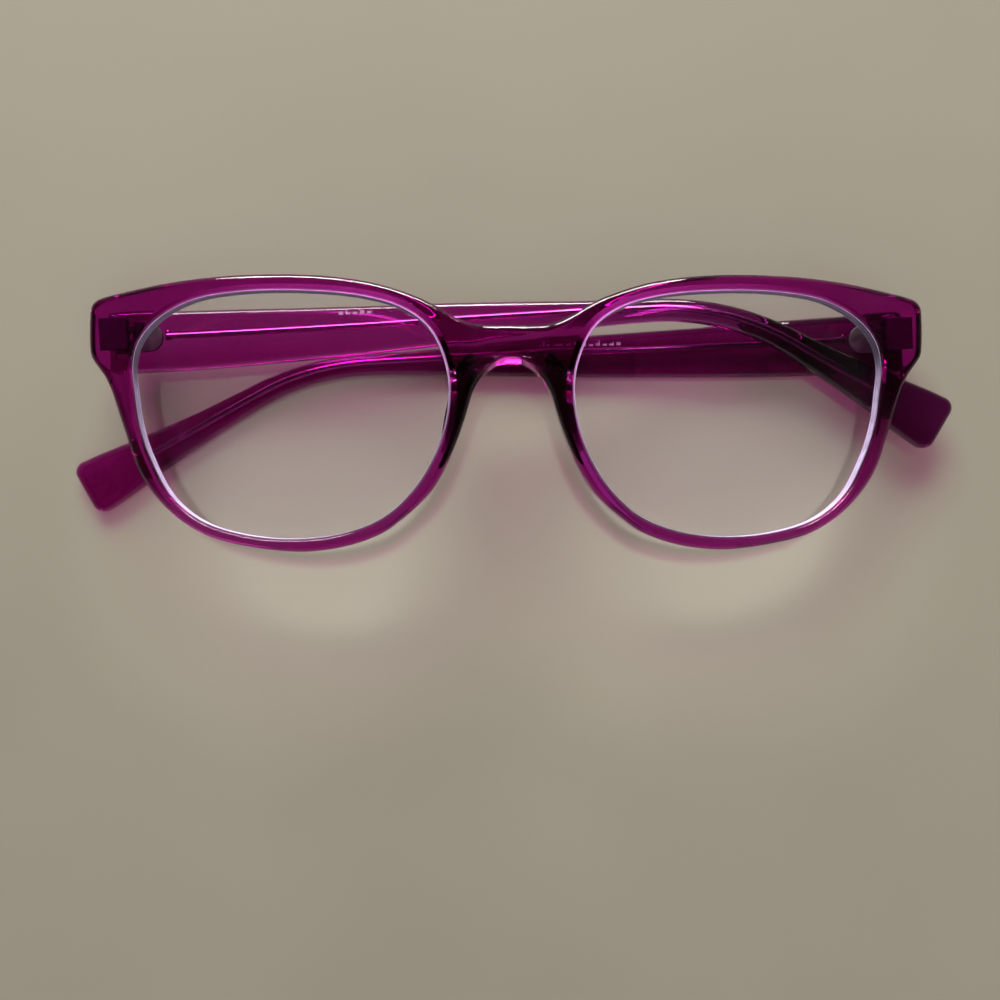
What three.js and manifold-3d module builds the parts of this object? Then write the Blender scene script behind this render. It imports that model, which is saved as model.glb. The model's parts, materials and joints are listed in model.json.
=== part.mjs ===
// Folded full-rim glasses, lying front up on the outer face of the lower temple.
// Millimetres. +X towards the wearer's left, +Y towards the brow, +Z up from the table.
import * as THREE from 'three';
import { mergeVertices } from 'three/addons/utils/BufferGeometryUtils.js';
import Module from 'manifold-3d';

const wasm = await Module();
wasm.setup();

// ---- driving sizes -------------------------------------------------------
const LENS_WIDTH = 51;            // boxed lens width
const LENS_HEIGHT = 39.8;         // boxed lens height
const BRIDGE = 17;                // distance between the two boxed lenses
const TEMPLE_LENGTH = 137;        // hinge pin to tip, along the temple
const FRONT_THICKNESS = 4;
const TEMPLE_THICKNESS = 3;
const TIP_THICKNESS = 2.6;
const HINGE_PITCH = 1.1;          // height of one hinge barrel with its gap
const BARREL_RADIUS = 1.25;
const PIN_RADIUS = 0.6;
const WIRE_RADIUS = 0.6;
const LENS_EDGE = 3.4;            // lens thickness at its edge
const LENS_CENTRE = 1.6;          // lens thickness in the middle
const BEVEL = 0.75;               // how far the lens bevel stands into its groove
const WRAP_RADIUS = 320;          // face curve of the front, seen from above
const CANT_RIGHT = THREE.MathUtils.degToRad(3.15);  // how far each temple leans, in the table's plane
const CANT_LEFT = THREE.MathUtils.degToRad(2.4);
const EAR_BEND_RIGHT = THREE.MathUtils.degToRad(33.5);
const EAR_BEND_LEFT = THREE.MathUtils.degToRad(27);
const EAR_RADIUS = 40;
const GAP = 0.2;                  // clearance between pieces that fit together

// ---- sizes that follow ---------------------------------------------------
const HALF_W = LENS_WIDTH / 2 - BEVEL;              // half of the visible lens opening
const HALF_H = LENS_HEIGHT / 2 - BEVEL;
const LENS_X = (BRIDGE + LENS_WIDTH) / 2;           // centre of each lens
const HALF_FRONT = FRONT_THICKNESS / 2;
const PIN_INBOARD = 0.4 * BARREL_RADIUS;            // pin centre from the temple's inner face
const SEAT = 2 * BARREL_RADIUS + 0.4;               // pin centre from the back of the endpiece
const END_X = LENS_X + 1.26 * HALF_W;               // outer side of the endpiece
const PIN_X = END_X - TEMPLE_THICKNESS - PIN_INBOARD;
const PIN_Y = 0.69 * HALF_H;
const SEAT_X = LENS_X + 1.003 * HALF_W;             // from here out the endpiece is flat
const SEAT_EASE = 2.4;
const STACK = TEMPLE_THICKNESS + 0.35;              // upper temple above the table
const TILT = Math.asin(STACK / (2 * PIN_X));        // the front leans on the stacked temples
const BEND_START = 0.62 * TEMPLE_LENGTH;
const PAD_DEPTH = 5.6;

// ---- helpers -------------------------------------------------------------
function solid(geometry) {
  const bare = geometry.index ? geometry.toNonIndexed() : geometry.clone();
  bare.deleteAttribute('normal');
  bare.deleteAttribute('uv');
  const welded = mergeVertices(bare, 1e-4);
  const index = [];
  for (let i = 0; i < welded.index.count; i += 3) {
    const [a, b, c] = [0, 1, 2].map((k) => welded.index.getX(i + k));
    if (a !== b && b !== c && c !== a) index.push(a, b, c);
  }
  const made = new wasm.Manifold(new wasm.Mesh({
    numProp: 3,
    vertProperties: new Float32Array(welded.attributes.position.array),
    triVerts: new Uint32Array(index),
  }));
  if (made.volume() > 0) return made;
  const flipped = [];
  for (let i = 0; i < index.length; i += 3) flipped.push(index[i], index[i + 2], index[i + 1]);
  return new wasm.Manifold(new wasm.Mesh({
    numProp: 3,
    vertProperties: new Float32Array(welded.attributes.position.array),
    triVerts: new Uint32Array(flipped),
  }));
}

function piece(name, body, material) {
  const raw = body.getMesh();
  const geometry = new THREE.BufferGeometry();
  geometry.setAttribute('position', new THREE.BufferAttribute(new Float32Array(raw.vertProperties), 3));
  geometry.setIndex(new THREE.BufferAttribute(new Uint32Array(raw.triVerts), 1));
  geometry.computeVertexNormals();
  const mesh = new THREE.Mesh(geometry, material);
  mesh.name = name;
  return mesh;
}

// Moves every corner of a geometry by a rule.
function remap(geometry, rule) {
  const position = geometry.attributes.position;
  const corner = new THREE.Vector3();
  for (let i = 0; i < position.count; i += 1) {
    corner.fromBufferAttribute(position, i);
    rule(corner);
    position.setXYZ(i, corner.x, corner.y, corner.z);
  }
  return geometry;
}

function shapeOf(points) {
  return new THREE.Shape(points.map(([x, y]) => new THREE.Vector2(x, y)));
}

function slab(points, low, high, bevel = 0) {
  const geometry = new THREE.ExtrudeGeometry(shapeOf(points), {
    depth: high - low - 2 * bevel,
    bevelEnabled: bevel > 0,
    bevelThickness: bevel,
    bevelSize: bevel,
    bevelOffset: -bevel,
    bevelSegments: 2,
  });
  return geometry.translate(0, 0, low + bevel);
}

function box(x0, x1, y0, y1, z0, z1) {
  const geometry = new THREE.BoxGeometry(x1 - x0, y1 - y0, z1 - z0);
  return geometry.translate((x0 + x1) / 2, (y0 + y1) / 2, (z0 + z1) / 2);
}

function barrel(radius, y0, y1, sides = 20) {
  return new THREE.CylinderGeometry(radius, radius, y1 - y0, sides).translate(0, (y0 + y1) / 2, 0);
}

function joined(list) {
  return list.map(solid).reduce((a, b) => a.add(b));
}

// ---- front: curve seen from above ----------------------------------------
function sag(x) {
  const far = Math.abs(x);
  const arc = Math.min(far, SEAT_X);
  const past = Math.min(Math.max(far - SEAT_X, 0), SEAT_EASE);
  const slope = SEAT_X / WRAP_RADIUS;
  return arc * arc / (2 * WRAP_RADIUS) + slope * (past - past * past / (2 * SEAT_EASE));
}

const wrap = (corner) => { corner.z -= sag(corner.x); };
const SEAT_SAG = sag(END_X);
const PIN_DEPTH = SEAT_SAG + HALF_FRONT + SEAT;     // pin below the middle plane of the bridge

// ---- front: lens opening -------------------------------------------------
// Each row is a point of the left lens opening, as parts of its half width and half height
// from the lens centre (+x towards the temple), then the width of the rim there in mm.
const OPENING = [
  [1.0, 0.41, 3.0], [0.985, 0.2, 3.0], [0.952, -0.08, 2.7], [0.872, -0.37, 2.3],
  [0.742, -0.66, 1.9], [0.55, -0.855, 1.75], [0.28, -0.965, 1.7], [-0.04, -1.0, 1.7],
  [-0.34, -0.955, 1.75], [-0.59, -0.83, 1.85], [-0.77, -0.62, 1.95], [-0.895, -0.37, 2.1],
  [-0.975, -0.08, 2.5], [-1.0, 0.2, 3.2], [-0.972, 0.43, 3.6], [-0.875, 0.69, 3.6],
  [-0.71, 0.85, 2.9], [-0.45, 0.95, 2.5], [-0.06, 1.0, 2.35], [0.34, 0.995, 2.35],
  [0.62, 0.935, 3.15], [0.85, 0.78, 3.6], [0.965, 0.6, 3.3],
];
const LIP = new THREE.CatmullRomCurve3(
  OPENING.map(([u, v, width]) => new THREE.Vector3(u * HALF_W, v * HALF_H, width)),
  true,
  'centripetal',
);
const LIP_STEPS = 52;
const LIP_ROWS = Array.from({ length: LIP_STEPS }, (_, i) => {
  const here = LIP.getPoint(i / LIP_STEPS);
  const ahead = LIP.getPoint(((i + 0.25) / LIP_STEPS) % 1);
  const behind = LIP.getPoint((i - 0.25 + LIP_STEPS) / LIP_STEPS % 1);
  const along = new THREE.Vector2(ahead.x - behind.x, ahead.y - behind.y).normalize();
  const out = new THREE.Vector2(along.y, -along.x);
  if (out.x * here.x + out.y * here.y < 0) out.negate();
  return { here, out, width: here.z };
});
const ROUND = HALF_H;             // nominal radius of the lathed ring before it is led round the lens
const GROOVE = BEVEL + GAP;
const FULL = 3;                   // nominal rim width of the lathed profile

// A lathed ring or disc is led along the outline of the lens opening. Inside the nominal
// radius it is scaled from the lens centre, outside it is set off from the opening's edge.
function led(profile) {
  const geometry = new THREE.LatheGeometry(profile.map(([r, z]) => new THREE.Vector2(r, z)), LIP_STEPS);
  return remap(geometry, (corner) => {
    const radius = Math.round(Math.hypot(corner.x, corner.z) * 1e4) / 1e4;
    const turn = Math.atan2(corner.x, corner.z) / (2 * Math.PI);
    const row = LIP_ROWS[(Math.round(turn * LIP_STEPS) + LIP_STEPS) % LIP_STEPS];
    const scale = Math.min(radius, ROUND) / ROUND;
    let off = Math.max(radius - ROUND, 0);
    const spread = (row.width - GROOVE) / (FULL - GROOVE);
    if (off > GROOVE) off = GROOVE + (off - GROOVE) * spread;
    const height = corner.y;
    corner.set(
      LENS_X + row.here.x * scale + row.out.x * off,
      row.here.y * scale + row.out.y * off,
      height,
    );
  });
}

const F = HALF_FRONT;
const RIM_PROFILE = [
  [0, F - 0.4], [0.35, F], [2.1, F], [2.7, F - 0.35], [FULL, F - 0.95],
  [FULL, 0.95 - F], [2.7, 0.35 - F], [2.1, -F], [0.4, -F], [0, 0.4 - F],
  [0, -GROOVE - 0.1], [GROOVE, 0], [0, GROOVE + 0.1], [0, F - 0.4],
].map(([off, z]) => [ROUND + off, z]);

// ---- front: bridge and endpiece ------------------------------------------
const at = (u, v) => [LENS_X + u * HALF_W, v * HALF_H];
const INNER_GAP = at(-1.17, 0)[0];                  // half of the nose gap at the arch's foot
const ARCH = [[0, 0.435], [0.28, 0.418], [0.57, 0.365], [0.77, 0.3], [0.9, 0.245]]
  .map(([u, v]) => [u * INNER_GAP, v * HALF_H]);
const BRIDGE_HALF = [
  ...ARCH,
  at(-1.143, 0.22), at(-1.09, 0.2), at(-1.07, 0.42), at(-1.03, 0.58), at(-0.965, 0.72), at(-0.9, 0.82),
  at(-0.86, 0.86), at(-0.885, 0.885), at(-0.945, 0.833), at(-1.005, 0.78), at(-1.065, 0.735),
  at(-1.11, 0.71),
];
const BRIDGE_LINE = [
  ...BRIDGE_HALF,
  [0, 0.705 * HALF_H],
  ...BRIDGE_HALF.slice(1).reverse().map(([x, y]) => [-x, y]),
];
const ENDPIECE_LINE = [
  at(1.06, 0.03), at(1.108, 0.135), at(1.12, 0.209), at(1.136, 0.287), at(1.162, 0.366),
  at(1.19, 0.42), at(1.225, 0.46), at(1.248, 0.51), at(1.26, 0.574), at(1.26, 0.84),
  at(1.252, 0.9), at(1.225, 0.942), at(1.13, 0.978), at(1.0, 1.014), at(0.865, 1.045),
  at(0.76, 1.065), at(0.69, 1.045), at(0.69, 1.0), at(0.76, 0.96), at(0.89, 0.88),
  at(0.965, 0.775), at(1.025, 0.65), at(1.055, 0.55), at(1.065, 0.42), at(1.055, 0.24),
];

// ---- hinge: pin along y, temple towards +x, front above --------------------
const BARRELS = [-2, -1, 0, 1, 2].map((k) => k * HINGE_PITCH);
const BARREL_HALF = HINGE_PITCH / 2 - 0.1;
const LEAF_HALF = 2.15 * HINGE_PITCH;
const LEAF = 1;
const SWEEP = BARREL_RADIUS + 0.3;
const HINGE_TOP = 2.5 * HINGE_PITCH + 0.75;

function rounded(x0, x1, half) {
  const straight = x1 - half;
  const line = [[x0, -half], [straight, -half]];
  for (let i = 1; i < 8; i += 1) {
    const turn = -Math.PI / 2 + Math.PI * i / 8;
    line.push([straight + half * Math.cos(turn), half * Math.sin(turn)]);
  }
  line.push([straight, half], [x0, half]);
  return line;
}

const LEAF_END = 5.9;
const FRONT_LEAF_X = [-2.6, 1.7];

function frontLeaf() {
  const parts = BARRELS.filter((_, i) => i % 2 === 0).flatMap((y) => [
    barrel(BARREL_RADIUS, y - BARREL_HALF, y + BARREL_HALF),
    box(1 - BARREL_RADIUS, BARREL_RADIUS - 0.15, y - BARREL_HALF, y + BARREL_HALF, 0, SEAT + 0.3),
  ]);
  parts.push(box(FRONT_LEAF_X[0], FRONT_LEAF_X[1], -LEAF_HALF - 0.15, LEAF_HALF + 0.15, SEAT - 0.1, SEAT + LEAF));
  return joined(parts).subtract(solid(barrel(PIN_RADIUS + 0.15, -HINGE_TOP, HINGE_TOP, 16)));
}

function templeLeaf() {
  const floor = -PIN_INBOARD - LEAF + 0.05;
  const parts = BARRELS.filter((_, i) => i % 2 === 1).flatMap((y) => [
    barrel(BARREL_RADIUS, y - BARREL_HALF, y + BARREL_HALF),
    box(0, 2.3, y - BARREL_HALF, y + BARREL_HALF, floor, 1 - PIN_INBOARD),
  ]);
  parts.push(slab(rounded(1.7, LEAF_END, LEAF_HALF), floor, 0.05 - PIN_INBOARD));
  return joined(parts).subtract(solid(barrel(PIN_RADIUS + 0.15, -HINGE_TOP, HINGE_TOP, 16)));
}

function hingeScrew() {
  const top = 2.5 * HINGE_PITCH;
  return joined([
    barrel(PIN_RADIUS, -top + 0.1, top + 0.2, 16),
    barrel(BARREL_RADIUS - 0.15, top + 0.1, top + 0.6, 16),
  ]);
}

// ---- temple ----------------------------------------------------------------
// Half width of the temple and how far its middle lies off the wire, by distance from the pin.
const WIDTHS = new THREE.SplineCurve([
  [-0.02, 4.85], [0.09, 4.75], [0.204, 4.25], [0.307, 3.75], [0.365, 3.4], [0.46, 2.75],
  [0.533, 2.15], [0.584, 1.85], [0.64, 1.75], [0.7, 1.78], [0.77, 1.95], [0.832, 2.35],
  [0.883, 2.95], [0.934, 3.8], [0.97, 4.4], [1.0, 4.7],
].map(([s, half]) => new THREE.Vector2(s * TEMPLE_LENGTH, half)));
const WIDTH_TABLE = WIDTHS.getPoints(60);
const OFF_WIRE = [[-0.02, -1.05], [0.36, -0.85], [0.6, -0.45], [0.8, -0.2], [1, 0]]
  .map(([s, off]) => new THREE.Vector2(s * TEMPLE_LENGTH, off));

function between(table, s) {
  const next = table.findIndex((point) => point.x >= s);
  if (next < 0) return table[table.length - 1].y;
  if (next === 0) return table[0].y;
  const [a, b] = [table[next - 1], table[next]];
  return a.y + (b.y - a.y) * (s - a.x) / (b.x - a.x);
}

const TIP_ROUND = 3.2;
function halfWidth(s) {
  const left = Math.max(TEMPLE_LENGTH - s, 0);
  if (left >= TIP_ROUND) return between(WIDTH_TABLE, s);
  const cut = TIP_ROUND - Math.sqrt(TIP_ROUND ** 2 - (TIP_ROUND - left) ** 2);
  return between(WIDTH_TABLE, s) - cut;
}

function midline(s, bend) {
  const angle = THREE.MathUtils.clamp((s - BEND_START) / EAR_RADIUS, 0, bend);
  const past = Math.max(s - BEND_START - EAR_RADIUS * bend, 0);
  const straight = Math.min(s, BEND_START);
  return {
    x: straight + EAR_RADIUS * Math.sin(angle) + past * Math.cos(bend),
    y: 0.3 - EAR_RADIUS * (1 - Math.cos(angle)) - past * Math.sin(bend),
    up: [Math.sin(angle), Math.cos(angle)],
  };
}

const WIRE_START = LEAF_END + 0.3;
const WIRE_END = 0.93 * TEMPLE_LENGTH;
const BEND_STATIONS = Array.from({ length: 7 }, (_, i) => BEND_START + i * EAR_RADIUS * 0.567 / 6);

function thickness(s) {
  const part = THREE.MathUtils.clamp((s - 20) / (TEMPLE_LENGTH - 40), 0, 1);
  return TEMPLE_THICKNESS + (TIP_THICKNESS - TEMPLE_THICKNESS) * part;
}

function wireRun(radius, start, end, bend, pointed) {
  const stations = [start, 0.3 * TEMPLE_LENGTH, ...BEND_STATIONS, 0.85 * TEMPLE_LENGTH, end];
  const n = stations.length - 1;
  const rod = new THREE.CylinderGeometry(radius, radius, 1, 8, n);
  return remap(rod, (corner) => {
    const k = Math.round((corner.y + 0.5) * n);
    const middle = midline(stations[k], bend);
    const slim = pointed && k === n ? 0.3 : 1;
    const up = corner.x * slim;
    const deep = corner.z * slim;
    corner.set(middle.x + middle.up[0] * up, middle.y + middle.up[1] * up, deep - PIN_INBOARD - TEMPLE_THICKNESS / 2);
  });
}

function temple(bend) {
  const front = 0.3 - SEAT;
  const stations = [front, 4, 12, 22, 32, 42, 52, 62, 72].map((s) => (s > 0 ? s * TEMPLE_LENGTH / 138 : s));
  stations.push(...BEND_STATIONS);
  for (const part of [0.81, 0.87, 0.93]) stations.push(part * TEMPLE_LENGTH);
  for (const left of [TIP_ROUND, 0.6 * TIP_ROUND, 0.3 * TIP_ROUND, 0.1 * TIP_ROUND, 0]) {
    stations.push(TEMPLE_LENGTH - left);
  }
  const n = stations.length - 1;
  // Cross-section in halves: rounded corners, flat faces.
  const section = [
    [-1, -0.62], [-0.95, -0.86], [-0.84, -1], [0.84, -1], [0.95, -0.86], [1, -0.62],
    [1, 0.62], [0.95, 0.86], [0.84, 1], [-0.84, 1], [-0.95, 0.86], [-1, 0.62],
  ];
  const bar = new THREE.ExtrudeGeometry(shapeOf(section), { depth: 1, steps: n, bevelEnabled: false });
  remap(bar, (corner) => {
    const s = stations[Math.round(corner.z * n)];
    const middle = midline(s, bend);
    const up = corner.x * halfWidth(s) + between(OFF_WIRE, s);
    const thick = thickness(s);
    const z = -PIN_INBOARD - TEMPLE_THICKNESS + (corner.y + 1) / 2 * thick;
    corner.set(middle.x + middle.up[0] * up, middle.y + middle.up[1] * up, z);
  });
  const floor = -PIN_INBOARD - LEAF - 0.15;
  const above = 2;
  return solid(bar)
    .subtract(solid(slab(rounded(-0.2, LEAF_END + GAP, LEAF_HALF + GAP), floor, above)))
    .subtract(solid(barrel(SWEEP, -HINGE_TOP, HINGE_TOP)))
    .subtract(solid(wireRun(WIRE_RADIUS + 0.15, LEAF_END - 1.2, WIRE_END + 0.4, bend, false)));
}

// ---- materials -------------------------------------------------------------
const acetate = (colour) => new THREE.MeshStandardMaterial({ color: colour, roughness: 0.15, metalness: 0 });
const metal = (colour, roughness) => new THREE.MeshStandardMaterial({ color: colour, roughness, metalness: 1 });
const clear = () => new THREE.MeshStandardMaterial({
  color: 0xe9e2f2, roughness: 0.04, metalness: 0, transparent: true, opacity: 0.3,
});

// ---- solids ----------------------------------------------------------------
function mirrored(body) {
  return body.mirror([1, 0, 0]);
}

const rim = solid(remap(led(RIM_PROFILE), wrap));
const bridge = solid(remap(slab(BRIDGE_LINE, -F, F, 0.35), wrap));
const endpiece = solid(remap(slab(ENDPIECE_LINE, -F, F, 0.5), wrap));
const turned = (body, angle) => body.rotate([0, 0, THREE.MathUtils.radToDeg(angle)]);
const recess = solid(box(
  FRONT_LEAF_X[0] - GAP, FRONT_LEAF_X[1] + GAP,
  -LEAF_HALF - 0.15 - GAP, LEAF_HALF + 0.15 + GAP,
  SEAT - 1.5, SEAT + LEAF + GAP,
));
const recessLeft = turned(mirrored(recess), CANT_LEFT).translate([PIN_X, PIN_Y, -PIN_DEPTH]);
const recessRight = turned(recess, CANT_RIGHT).translate([-PIN_X, PIN_Y, -PIN_DEPTH]);
const frontBody = rim
  .add(mirrored(rim))
  .add(bridge)
  .add(endpiece)
  .add(mirrored(endpiece))
  .subtract(recessLeft)
  .subtract(recessRight);

const LENS_EDGE_R = ROUND - 0.15;
const DOME = 1.7;
const domed = (r) => DOME * (1 - (r / ROUND) ** 2);
const lensFront = (part) => [part * LENS_EDGE_R, domed(part * LENS_EDGE_R)
  + LENS_CENTRE / 2 + (LENS_EDGE - LENS_CENTRE) / 2 * part ** 2];
const lensBack = (part) => [part * LENS_EDGE_R, domed(part * LENS_EDGE_R)
  - LENS_CENTRE / 2 - (LENS_EDGE - LENS_CENTRE) / 2 * part ** 2];
const LENS_PROFILE = [
  lensBack(0), lensBack(0.4), lensBack(0.75), lensBack(1),
  [LENS_EDGE_R, -BEVEL - 0.05], [ROUND + BEVEL, 0], [LENS_EDGE_R, BEVEL + 0.05],
  lensFront(1), lensFront(0.75), lensFront(0.4), lensFront(0),
];
const lensBody = solid(remap(led(LENS_PROFILE), wrap));

// Nose pad: a long rounded block behind the nasal side of the rim, its flat face to the front,
// blunt at the top and tapering downwards.
const PAD_X = LENS_X - 1.02 * HALF_W;
const PAD_Y = 0.01 * HALF_H;
const PAD_TAPER = 0.35;
const padBall = new THREE.SphereGeometry(1, 18, 12);
const padPoints = padBall.attributes.position;
for (let i = 0; i < padPoints.count; i += 1) {
  const high = padPoints.getY(i);
  padPoints.setX(i, padPoints.getX(i) * (1 + PAD_TAPER * high));
  padPoints.setY(i, high > 0 ? high ** 0.7 : high);
}
padBall.scale(1.45, 0.5 * HALF_H, PAD_DEPTH)
  .rotateZ(THREE.MathUtils.degToRad(14))
  .translate(PAD_X, PAD_Y, -HALF_FRONT - 0.2 - sag(PAD_X + 3));
const padBody = solid(padBall)
  .intersect(solid(box(0, 30, -30, 30, -20, -HALF_FRONT - 0.2 - sag(PAD_X + 3))));

// ---- assembly --------------------------------------------------------------
const glasses = new THREE.Group();
glasses.name = 'folded_glasses';

const lowPin = TEMPLE_THICKNESS + PIN_INBOARD;
const front = new THREE.Group();
front.name = 'front_group';
front.position.set(PIN_X, 0, lowPin);
front.rotation.y = TILT;
const inner = new THREE.Group();
inner.name = 'front_offset';
inner.position.set(-PIN_X, 0, PIN_DEPTH);
front.add(inner);
glasses.add(front);

const PLUM = 0x86035f;
inner.add(piece('front_frame', frontBody, acetate(PLUM)));
inner.add(piece('lens_left', lensBody, clear()));
inner.add(piece('lens_right', mirrored(lensBody), clear()));
inner.add(piece('nose_pad_left', padBody, acetate(0x7a0358)));
inner.add(piece('nose_pad_right', mirrored(padBody), acetate(0x7a0358)));

function hingeGroup(side) {
  const group = new THREE.Group();
  group.position.set(side * PIN_X, PIN_Y, -PIN_DEPTH);
  group.rotation.z = side > 0 ? CANT_LEFT : CANT_RIGHT;
  group.name = side > 0 ? 'hinge_group_left' : 'hinge_group_right';
  return group;
}

const sided = (body, side) => (side > 0 ? mirrored(body) : body);
for (const side of [1, -1]) {
  const which = side > 0 ? 'left' : 'right';
  const fixed = hingeGroup(side);
  fixed.add(piece(`front_hinge_leaf_${which}`, sided(frontLeaf(), side), metal(0xb9b4ac, 0.35)));
  fixed.add(piece(`hinge_screw_${which}`, sided(hingeScrew(), side), metal(0xd2cec6, 0.25)));
  inner.add(fixed);

  const bend = side > 0 ? EAR_BEND_LEFT : EAR_BEND_RIGHT;
  const moving = new THREE.Group();
  moving.name = `temple_group_${which}`;
  const across = side > 0 ? 0 : 2 * PIN_X;
  moving.position.set(
    PIN_X - across * Math.cos(TILT),
    PIN_Y,
    lowPin + across * Math.sin(TILT),
  );
  moving.rotation.z = fixed.rotation.z;
  const wire = solid(wireRun(WIRE_RADIUS, WIRE_START, WIRE_END, bend, true));
  moving.add(piece(`temple_${which}`, sided(temple(bend), side), acetate(PLUM)));
  moving.add(piece(`core_wire_${which}`, sided(wire, side), metal(0xe2dcd4, 0.3)));
  moving.add(piece(`temple_hinge_leaf_${which}`, sided(templeLeaf(), side), metal(0xb9b4ac, 0.35)));
  glasses.add(moving);
}

// The origin is under the middle of the whole outline, on the table.
glasses.updateMatrixWorld(true);
const bounds = new THREE.Box3().setFromObject(glasses, true);
glasses.position.set(
  -(bounds.min.x + bounds.max.x) / 2,
  -(bounds.min.y + bounds.max.y) / 2,
  -bounds.min.z,
);

export default glasses;
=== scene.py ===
import json
import math
from types import SimpleNamespace

import bmesh
import bpy
from bpy.props import FloatProperty, FloatVectorProperty, PointerProperty
from mathutils import Matrix, Vector


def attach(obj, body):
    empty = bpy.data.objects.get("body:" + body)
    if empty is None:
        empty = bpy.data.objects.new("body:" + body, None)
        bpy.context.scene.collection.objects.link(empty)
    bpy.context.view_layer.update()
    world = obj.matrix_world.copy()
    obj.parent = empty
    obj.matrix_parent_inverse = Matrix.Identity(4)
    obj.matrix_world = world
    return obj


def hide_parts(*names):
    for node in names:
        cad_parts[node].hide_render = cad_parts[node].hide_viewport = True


bl_info = {
    "name": "Folded Glasses",
    "version": (1, 0, 0),
    "blender": (4, 5, 0),
    "location": "View3D > Sidebar > Glasses",
    "description": "Builds folded full-rim glasses in clear plum acetate around their hinges",
    "category": "Add Mesh",
}

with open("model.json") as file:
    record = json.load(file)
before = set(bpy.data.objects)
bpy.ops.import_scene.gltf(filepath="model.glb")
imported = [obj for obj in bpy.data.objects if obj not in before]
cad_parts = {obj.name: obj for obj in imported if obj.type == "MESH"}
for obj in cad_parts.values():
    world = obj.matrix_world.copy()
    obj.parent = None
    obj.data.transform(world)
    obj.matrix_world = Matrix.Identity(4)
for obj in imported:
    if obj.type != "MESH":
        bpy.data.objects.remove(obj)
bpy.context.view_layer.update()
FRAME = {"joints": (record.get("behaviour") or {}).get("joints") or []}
MM = 0.001
PINS = {joint["child"]: Vector(joint["pos_m"]) / MM for joint in FRAME["joints"]}
SIDES = {"left": 1, "right": -1}

# Left half of the front, seen from the front, from the middle of the arch round the rim to
# the middle of the brow line. Millimetres from the middle between the lenses.
OUTER_LINE = [
    (0, 8.3), (1.5, 8.1), (2.9, 7.3), (4.1, 6.1), (5.1, 4.7), (5.85, 3.4), (6.5, 1.4), (7.1, -0.6),
    (7.8, -2.7), (9.4, -6.7), (10.9, -9.7), (12.4, -11.9), (14.4, -14), (17, -16.2), (19.2, -17.8),
    (21.8, -19), (25, -20), (29, -20.7), (32.6, -20.9), (38.4, -20.4), (44.8, -19.1), (47.9, -17.9),
    (51.2, -15.9), (54.4, -13), (57, -9.6), (58.4, -6.7), (59.5, -3.4), (61, 1.15), (61.9, 4),
    (63, 6.4), (64.2, 8.1), (65, 9.4), (65.2, 10.6), (65.2, 15.4), (65, 17.1), (64.2, 18.1),
    (62.3, 18.8), (58.8, 19.6), (52, 20.7), (45.5, 21.3), (39, 21.5), (32.8, 21.4), (26.6, 20.9),
    (20.4, 19.8), (14.4, 17.8), (12.1, 16.7), (9.1, 14.95), (7.6, 14.2), (6, 13.7), (3, 13.5), (0, 13.5),
]
# Left lens opening, as parts of its half width and half height from the lens centre.
OPENING = [
    (1, 0.41), (0.985, 0.2), (0.952, -0.08), (0.872, -0.37), (0.742, -0.66), (0.55, -0.855),
    (0.28, -0.965), (-0.04, -1), (-0.34, -0.955), (-0.59, -0.83), (-0.77, -0.62), (-0.895, -0.37),
    (-0.975, -0.08), (-1, 0.2), (-0.972, 0.43), (-0.875, 0.69), (-0.71, 0.85), (-0.45, 0.95),
    (-0.06, 1), (0.34, 0.995), (0.62, 0.935), (0.85, 0.78), (0.965, 0.6),
]
# Half width of a temple by its distance from the pin, and how far its middle lies off the wire.
TEMPLE_WIDTHS = [
    (-0.02, 4.85), (0.09, 4.75), (0.204, 4.25), (0.307, 3.75), (0.365, 3.4), (0.46, 2.75),
    (0.533, 2.15), (0.584, 1.85), (0.64, 1.75), (0.7, 1.78), (0.77, 1.95), (0.832, 2.35),
    (0.883, 2.95), (0.934, 3.8), (0.97, 4.4), (1, 4.7),
]
TEMPLE_OFF_WIRE = [(-0.02, -1.05), (0.36, -0.85), (0.6, -0.45), (0.8, -0.2), (1, 0)]


# ---- sizes ----------------------------------------------------------------


def length(name, description, default):
    return FloatProperty(name=name, description=description, default=default, unit="LENGTH", precision=5)


def angle(name, description, degrees):
    return FloatProperty(
        name=name, description=description, default=math.radians(degrees), subtype="ANGLE",
    )


def colour(name, description, default):
    return FloatVectorProperty(
        name=name, description=description, default=default, subtype="COLOR", size=3, min=0, max=1,
    )


class FrontSizes(bpy.types.PropertyGroup):
    lens_width: length("Lens width", "Boxed width of one lens", 0.051)
    lens_height: length("Lens height", "Boxed height of one lens", 0.0398)
    bridge: length("Bridge", "Distance between the two boxed lenses", 0.017)
    thickness: length("Front thickness", "Thickness of the cut front", 0.004)
    lens_bevel: length("Lens bevel", "How far the lens edge stands into its groove", 0.00075)
    lens_edge: length("Lens edge", "Thickness of a lens at its edge", 0.0034)
    lens_centre: length("Lens centre", "Thickness of a lens in the middle", 0.0016)
    wrap_radius: length("Wrap radius", "Face curve of the front, seen from above", 0.32)
    outer_rounding: length("Outer rounding", "Rounding of the outer front edge", 0.0008)
    back_rounding: length("Back rounding", "Rounding of the outer back edge", 0.00095)
    inner_rounding: length("Inner rounding", "Rounding of the rim beside the lens", 0.0003)
    pad_depth: length("Pad depth", "How far the nose pads stand back", 0.0056)


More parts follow.
